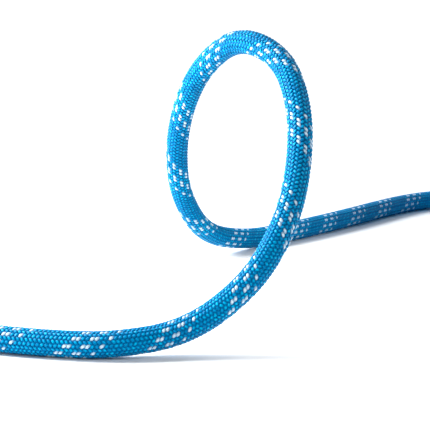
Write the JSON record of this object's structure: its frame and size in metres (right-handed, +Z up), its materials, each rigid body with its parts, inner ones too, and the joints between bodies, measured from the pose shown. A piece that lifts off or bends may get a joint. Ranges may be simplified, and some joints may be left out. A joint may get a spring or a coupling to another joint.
{
  "type": "dynamic climbing rope",
  "caption": "Kernmantle climbing rope with a braided sheath: one stretch laid in a standing loop, the rest wound in a tied round coil.",
  "frame": {"origin": "bottom centre of the whole object's box, on the plane that the rope lies on", "axes": "+X to the right along the object's longest side, towards the coil, +Y away from the free end, +Z up"},
  "size_m": [0.4289, 0.3489, 0.1333],
  "materials": {
    "sheath": "braided polyamide yarn, glossy",
    "core": "twisted polyamide yarn, undyed",
    "marker": "dyed yarn",
    "sleeve": "shrunk polyolefin, blank",
    "tip": "melted polyamide",
    "tie": "woven tape"
  },
  "bodies": {
    "root": {"sheath": "sheath", "core_strand_01": "core", "core_strand_02": "core", "core_strand_03": "core", "core_strand_04": "core", "core_strand_05": "core", "core_strand_06": "core", "core_strand_07": "core", "core_strand_08": "core", "core_strand_09": "core", "core_strand_10": "core", "core_strand_11": "core", "core_strand_12": "core", "marker_thread": "marker", "coiled_rope": "sheath", "tucked_end": "sheath", "tucked_end_sleeve": "sleeve", "tucked_end_tip": "tip", "free_end_sleeve": "sleeve", "free_end_tip": "tip", "coil_tie_1": "tie", "coil_tie_2": "tie", "coil_tie_3": "tie"}
  },
  "joints": []
}
